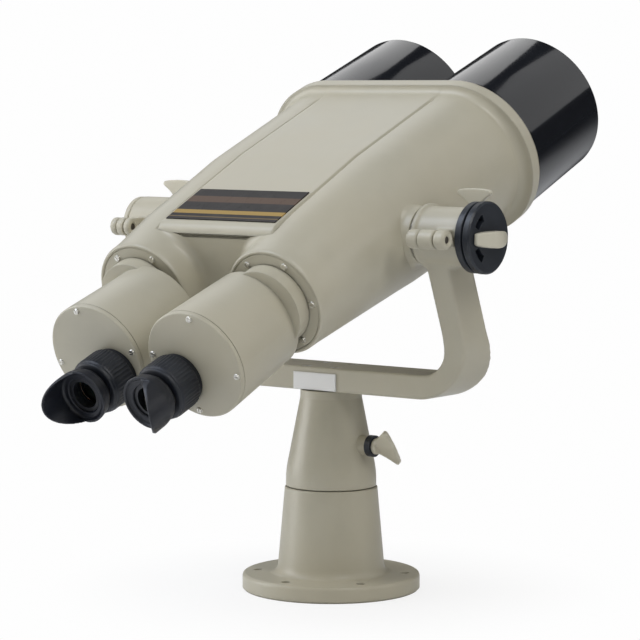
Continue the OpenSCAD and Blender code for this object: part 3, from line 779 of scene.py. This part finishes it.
    def bosses(self) -> None:
        """Turns the pads that carry the trunnions."""
        outline = [(0.0, 144.0), (26.2, 144.0), (26.8, 143.6), (27.0, 142.8), (27.1, 139.0), (27.6, 136.5),
                   (28.6, 134.4), (30.4, 132.6), (33.0, 130.5), (33.0, 120.0)]
        for side in Side:
            piece = turned(f"trunnion_boss_{side.tag}", outline, closed=False)
            place = HEAD @ Matrix.Rotation(math.pi / 2 * side.value, 4, "Y")
            place_and_finish(piece, place, Finish.ENAMEL, "head", "main_housing")

    def build(self) -> None:
        """Makes the whole body."""
        self.skin()
        self.tails()
        self.bosses()


@dataclass
class Hoods:
    """The long gloss-black hoods in front of the objectives, in millimetres from the trunnion line."""

    base: float = 186.8
    length: float = 128.9
    steps: int = 160

    def build(self) -> None:
        """Turns both hoods, each with a low collar and a rolled lip."""
        lip = self.length
        outline = [(70.8, 0.0), (75.2, 0.0), (75.8, 0.5), (76.0, 1.2), (76.0, 5.6), (75.7, 6.3),
                   (75.1, 6.7), (75.05, 7.6), (73.55, lip - 2.2), (73.3, lip - 0.9), (72.8, lip - 0.25),
                   (72.1, lip), (71.4, lip - 0.3), (71.0, lip - 1.0), (70.8, lip - 2.5),
                   (70.65, lip * 0.5), (70.62, 4.0)]
        for side in Side:
            piece = turned(f"objective_hood_{side.tag}", outline, steps=self.steps)
            place = forward(side.value * OBJECTIVE_X, u=self.base * MM)
            place_and_finish(piece, place, Finish.HOOD, "head", f"hood_{side.tag}")


@dataclass
class Eyepieces:
    """Ribbed focusing grips and soft eyecups, in millimetres from the trunnion line."""

    rear: float = -287.0
    length: float = 33.5
    radius: float = 26.1
    ribs: int = 48
    rib_height: float = 0.014
    rib_floor: float = -0.2

    def outline(self) -> list[Ring]:
        """Returns the grip's outline as (radius, station)."""
        low, high, r = self.rear, self.rear + self.length, self.radius
        return [(19.1, low), (23.2, low), (24.4, low + 0.5), (25.0, low + 1.4), (25.0, low + 3.2),
                (25.8, low + 4.0), (r, low + 5.0), (r, low + 6.0), (r, low + 12.0), (r, low + 18.0),
                (r, low + 24.0), (r, high - 6.6), (25.6, high - 5.8), (24.6, high - 5.2),
                (23.9, high - 4.8), (23.8, high), (19.1, high)]

    def raise_ribs(self, piece: bpy.types.Object) -> None:
        """Swells the full-width part of a grip into ribs."""
        low, high = self.rear + 5.5, self.rear + self.length - 6.4
        for vertex in piece.data.vertices:
            x, y, z = vertex.co
            if math.hypot(x, y) > (self.radius - 0.05) * MM and low < z / MM < high:
                turn = math.atan2(y, x) * self.ribs
                swell = 1.0 + self.rib_height * max(math.cos(turn), self.rib_floor)
                vertex.co.x, vertex.co.y = x * swell, y * swell

    def grip(self, side: Side) -> None:
        """Turns one focusing ring and raises its ribs."""
        piece = turned(f"focus_grip_{side.tag}", self.outline(), steps=self.ribs * 4)
        self.raise_ribs(piece)
        low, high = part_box(f"focus_ring_{side.tag}")
        centre = HEAD.inverted() @ Vector([(a + b) / 2 for a, b in zip(low, high)])
        place_and_finish(piece, forward(centre.x, centre.z), Finish.GRIP, f"focus_{side.tag}",
                         f"focus_ring_{side.tag}", smooth=40.0)

    def build(self) -> None:
        """Makes both eyepieces."""
        for side in Side:
            self.grip(side)
            Casting(f"eyecup_{side.tag}", f"soft_eyecup_{side.tag}", f"eyepiece_{side.tag}", Finish.EYECUP,
                    0.0005, 4).build()


@dataclass
class Stand:
    """The cast fork, its bearing caps and the thumb screws."""

    fork: Casting = Casting("fork", "cast_fork", "swivel", Finish.CASTING, 0.0013, 12)
    lock_screw: Casting = Casting("lock_screw", "cast_lock_screw", "azimuth_lock", Finish.GRIP_ENAMEL,
                                  0.0006, 8)
    tension_screw: Casting = Casting("tension_screw", "cast_tension_grip", "tension_wing",
                                     Finish.GRIP_ENAMEL, 0.0006, 8)

    def build(self) -> None:
        """Eases every casting's edges."""
        self.fork.build()
        for side in Side:
            Casting(f"bearing_cap_{side.tag}", f"cast_bearing_cap_{side.tag}", f"cap_{side.tag}",
                    Finish.ENAMEL, 0.0009, 6).build()
            Casting(f"clamp_screw_{side.tag}", f"cast_clamp_screw_{side.tag}", f"clamp_{side.tag}",
                    Finish.GRIP_ENAMEL, 0.0005, 8).build()
        self.lock_screw.build()
        self.tension_screw.build()


# ---------------------------------------------------------------- studio


@dataclass
class Studio:
    """Pale floor, soft lights and the camera."""

    azimuth: float = math.radians(37.09)
    elevation: float = math.radians(5.106)
    distance: float = 2.55
    aim: Point = (0.0054, -0.0252, 0.2657)
    lens: float = 148.59
    floor_size: float = 60.0
    floor_tone: Colour = (0.88, 0.88, 0.88)
    sky: float = 0.02
    sky_tone: Colour = (0.97, 0.985, 1.0)
    backdrop: float = 0.99
    contact_reach: tuple[float, float] = (0.03, 0.3)
    least_glow: float = 0.8

    def camera(self) -> None:
        """Sets the camera at the viewer's right, a little above the pedestal."""
        data = bpy.data.cameras.new("studio_camera")
        data.lens = self.lens
        data.clip_end = 100.0
        camera = bpy.data.objects.new("studio_camera", data)
        bpy.context.scene.collection.objects.link(camera)
        level = math.cos(self.elevation)
        back = Vector((math.sin(self.azimuth) * level, -math.cos(self.azimuth) * level,
                       math.sin(self.elevation)))
        camera.location = Vector(self.aim) + back * self.distance
        camera.rotation_euler = (-back).to_track_quat("-Z", "Y").to_euler()
        bpy.context.scene.camera = camera

    def floor(self) -> None:
        """Lays the pale floor, which looks nearly as white as the backdrop and shades faintly by the base."""
        bpy.ops.object.select_all(action="DESELECT")
        bpy.ops.mesh.primitive_plane_add(size=self.floor_size)
        floor = bpy.context.object
        floor.name = "studio_floor"
        paint = Paint("studio_floor")
        cloud = paint.noise(1.5, 2.0)
        tone = paint.mix(cloud, self.floor_tone, tuple(c * 0.98 for c in self.floor_tone))
        lit = paint.principled(Base_Color=tone, Roughness=0.6 + cloud * 0.1)
        glow = paint.node("ShaderNodeEmission", {}, (1.0, 1.0, 1.0, 1.0), self.backdrop)
        reach = paint.node("ShaderNodeVectorMath", {"operation": "LENGTH"}, paint.place, out="Value")
        watched = paint.node("ShaderNodeLightPath", {}, out="Is Camera Ray")
        share = watched * (reach.over(*self.contact_reach) * (1.0 - self.least_glow) + self.least_glow)
        floor.data.materials.append(
            paint.surface(paint.node("ShaderNodeMixShader", {}, share, lit, glow)))

    def lamp(self, name: str, power: float, size: tuple[float, float], azimuth: float, elevation: float,
             distance: float, colour: Colour = (1, 1, 1)) -> None:
        """Hangs one soft box that faces the instrument.

        Args:
            name: The lamp's name.
            power: Power in watts.
            size: Width and height in metres.
            azimuth: Degrees round from the viewer's side towards +X.
            elevation: Degrees above the floor.
            distance: Metres from the instrument.
            colour: Light colour.
        """
        data = bpy.data.lights.new(name, "AREA")
        data.shape = "RECTANGLE"
        data.size, data.size_y = size
        data.energy = power
        data.color = colour
        lamp = bpy.data.objects.new(name, data)
        bpy.context.scene.collection.objects.link(lamp)
        a, e = math.radians(azimuth), math.radians(elevation)
        out = Vector((math.sin(a) * math.cos(e), -math.cos(a) * math.cos(e), math.sin(e)))
        lamp.location = Vector(self.aim) + out * distance
        lamp.rotation_euler = (-out).to_track_quat("-Z", "Y").to_euler()

    def world(self) -> None:
        """Surrounds the stage with even light; the backdrop itself shows nearly white."""
        world = bpy.data.worlds.new("studio_world")
        bpy.context.scene.world = world
        world.use_nodes = True
        tree = world.node_tree
        tree.nodes.clear()
        path = tree.nodes.new("ShaderNodeLightPath")
        light = tree.nodes.new("ShaderNodeBackground")
        seen = tree.nodes.new("ShaderNodeBackground")
        mix = tree.nodes.new("ShaderNodeMixShader")
        output = tree.nodes.new("ShaderNodeOutputWorld")
        light.inputs["Strength"].default_value = self.sky
        light.inputs["Color"].default_value = (*self.sky_tone, 1.0)
        seen.inputs["Color"].default_value = (self.backdrop,) * 3 + (1.0,)
        tree.links.new(path.outputs["Is Camera Ray"], mix.inputs[0])
        tree.links.new(light.outputs[0], mix.inputs[1])
        tree.links.new(seen.outputs[0], mix.inputs[2])
        tree.links.new(mix.outputs[0], output.inputs["Surface"])

    def build(self) -> None:
        """Sets up the whole studio."""
        self.camera()
        self.floor()
        self.world()
        self.lamp("key_box", 43.8, (2.0, 1.4), -38.0, 52.0, 2.8, (0.78, 0.85, 1.0))
        self.lamp("left_box", 41.0, (1.6, 2.0), -62.0, 12.0, 2.8)
        self.lamp("front_box", 9.9, (2.0, 2.0), 20.0, 18.0, 3.0, (1.0, 0.97, 0.85))
        self.lamp("right_box", 10.0, (1.6, 1.6), 112.0, 18.0, 2.8)
        self.lamp("hood_strip", 28.0, (0.5, 2.2), 70.0, 48.0, 2.6)
        self.lamp("back_box", 7.0, (2.0, 2.0), 150.0, 40.0, 2.8)
        self.lamp("back_left_box", 12.0, (2.0, 2.0), -130.0, 40.0, 2.8)
        scene = bpy.context.scene
        scene.view_settings.view_transform = "Standard"
        scene.view_settings.look = "None"


def main() -> None:
    """Builds the studio and the instrument."""
    logging.basicConfig(level=logging.INFO, format="%(message)s")
    Studio().build()
    dress_frame()
    for part in (Housing(), Hoods(), Eyepieces(), Stand()):
        part.build()


if __name__ == "__main__":
    main()
